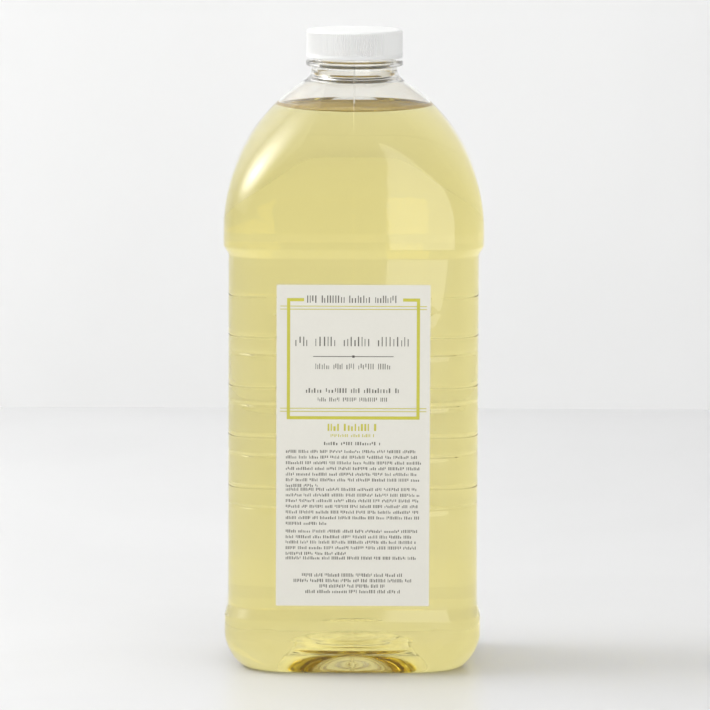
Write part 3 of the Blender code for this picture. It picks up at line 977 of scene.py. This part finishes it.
class REFILL_OT_stage(bpy.types.Operator):
    """Add the floor, the wall, the lights and the camera"""

    bl_idname = "refill.stage"
    bl_label = "Stage"

    def execute(self, context):
        stage = context.scene.refill_stage
        back = stage.wall_distance
        floor = flat_quad("floor", [(-4, -1.3, 0), (4, -1.3, 0), (4, back, 0), (-4, back, 0)])
        floor.data.materials.append(pale_surface("pale_floor", stage.floor_colour, 0.03))
        wall = flat_quad("back_wall", [(-4, back, 0), (4, back, 0), (4, back, 4), (-4, back, 4)])
        wall.data.materials.append(pale_surface("pale_wall", stage.wall_colour, 0.02))

        world = bpy.data.worlds.new("studio")
        world.use_nodes = True
        sky = world.node_tree.nodes["Background"]
        sky.inputs["Color"].default_value = SKY_COLOUR
        sky.inputs["Strength"].default_value = SKY_STRENGTH
        context.scene.world = world

        lights = {name: add_area(name, *values) for name, *values in LIGHTS}
        heat_middle(lights["key"], KEY_GAIN, KEY_REACH)

        camera_data = bpy.data.cameras.new("camera")
        camera_data.lens = stage.lens
        camera_data.sensor_width = 36
        camera = bpy.data.objects.new("camera", camera_data)
        context.scene.collection.objects.link(camera)
        camera.location = (stage.aside, -stage.distance, stage.camera_height)
        camera.rotation_euler = (QUARTER - stage.pitch, stage.roll, 0)
        context.scene.camera = camera
        context.scene.cycles.max_bounces = 40
        context.scene.cycles.transmission_bounces = 40
        context.scene.cycles.glossy_bounces = 40
        context.scene.cycles.transparent_max_bounces = 16
        context.scene.view_settings.view_transform = "Standard"
        return {"FINISHED"}


LIGHTS = (  # name, place, target, size, radiance
    ("key", (-1.28, 0.08, 1.18), (0, 0, 0.2), (2.0, 1.8), 0.52),
    ("window", (1.53, -3.2, 1.0), (1.53, 0, 1.0), (3.0, 3.6), 1.65),
    ("overhead", (0, 0.3, 2.4), (0, 0.2, 0), (2.0, 1.6), 0.12),
)
KEY_GAIN, KEY_REACH = 28.0, 0.46
SKY_COLOUR, SKY_STRENGTH = (0.985, 0.99, 1.0, 1), 0.67


def flat_quad(name, corners):
    """One flat quad."""
    mesh = bpy.data.meshes.new(name)
    mesh.from_pydata(corners, [], [(0, 1, 2, 3)])
    obj = bpy.data.objects.new(name, mesh)
    bpy.context.scene.collection.objects.link(obj)
    return obj


def add_area(name, place, target, size, radiance):
    """A rectangular soft light that faces a point. Its power is its radiance times pi times its area."""
    data = bpy.data.lights.new(name, "AREA")
    data.shape = "RECTANGLE"
    data.size, data.size_y = size
    data.energy = radiance * math.pi * size[0] * size[1]
    light = bpy.data.objects.new(name, data)
    light.location = place
    light.rotation_euler = (Vector(target) - Vector(place)).to_track_quat("-Z", "Y").to_euler()
    bpy.context.scene.collection.objects.link(light)
    return light


def heat_middle(light, gain, reach):
    """Makes a soft light brighter towards its middle: 1 + gain (1 - r / reach)^2 at r from the middle."""
    light.data.use_nodes = True
    tree = light.data.node_tree
    emission = tree.nodes["Emission"]
    place = add_node(tree, "ShaderNodeNewGeometry")
    centred = add_node(tree, "ShaderNodeVectorMath", operation="SUBTRACT")
    centred.inputs[1].default_value = (0.5, 0.5, 0)
    length = add_node(tree, "ShaderNodeVectorMath", operation="LENGTH")
    falling = add_node(tree, "ShaderNodeMapRange")
    falling.inputs["From Min"].default_value = 0.0
    falling.inputs["From Max"].default_value = reach
    falling.inputs["To Min"].default_value = 1.0
    falling.inputs["To Max"].default_value = 0.0
    squared = add_node(tree, "ShaderNodeMath", operation="POWER")
    squared.inputs[1].default_value = 2
    scaled = add_node(tree, "ShaderNodeMath", operation="MULTIPLY_ADD")
    scaled.inputs[1].default_value = gain
    scaled.inputs[2].default_value = 1.0
    tree.links.new(place.outputs["Parametric"], centred.inputs[0])
    tree.links.new(centred.outputs[0], length.inputs[0])
    tree.links.new(length.outputs["Value"], falling.inputs["Value"])
    tree.links.new(falling.outputs["Result"], squared.inputs[0])
    tree.links.new(squared.outputs[0], scaled.inputs[0])
    tree.links.new(scaled.outputs[0], emission.inputs["Strength"])


class REFILL_PT_panel(bpy.types.Panel):
    """The refill bottle's pieces"""

    bl_label = "Refill Bottle"
    bl_idname = "REFILL_PT_panel"
    bl_space_type = "VIEW_3D"
    bl_region_type = "UI"
    bl_category = "Refill Bottle"

    def draw(self, context):
        layout = self.layout
        for operator, settings in STEPS:
            box = layout.box()
            box.operator(operator.bl_idname)
            group = getattr(context.scene, settings)
            for key in group.bl_rna.properties.keys():
                if key not in ("rna_type", "name"):
                    box.prop(group, key)


SETTINGS = {
    "refill_bottle": BottleSettings,
    "refill_soap": SoapSettings,
    "refill_cap": CapSettings,
    "refill_label": LabelSettings,
    "refill_stage": StageSettings,
}
STEPS = (
    (REFILL_OT_bottle, "refill_bottle"),
    (REFILL_OT_soap, "refill_soap"),
    (REFILL_OT_cap, "refill_cap"),
    (REFILL_OT_liner, "refill_cap"),
    (REFILL_OT_label, "refill_label"),
    (REFILL_OT_print, "refill_label"),
    (REFILL_OT_stage, "refill_stage"),
)
CLASSES = (*SETTINGS.values(), *(operator for operator, _ in STEPS), REFILL_PT_panel)


def register():
    for cls in CLASSES:
        bpy.utils.register_class(cls)
    for name, cls in SETTINGS.items():
        setattr(bpy.types.Scene, name, PointerProperty(type=cls))


def unregister():
    for name in SETTINGS:
        delattr(bpy.types.Scene, name)
    for cls in reversed(CLASSES):
        bpy.utils.unregister_class(cls)


def main():
    register()
    bpy.ops.refill.stage()
    bpy.ops.refill.bottle()
    bpy.ops.refill.soap()
    bpy.ops.refill.cap()
    bpy.ops.refill.liner()
    bpy.ops.refill.label()
    bpy.ops.refill.print()


if __name__ == "__main__":
    main()
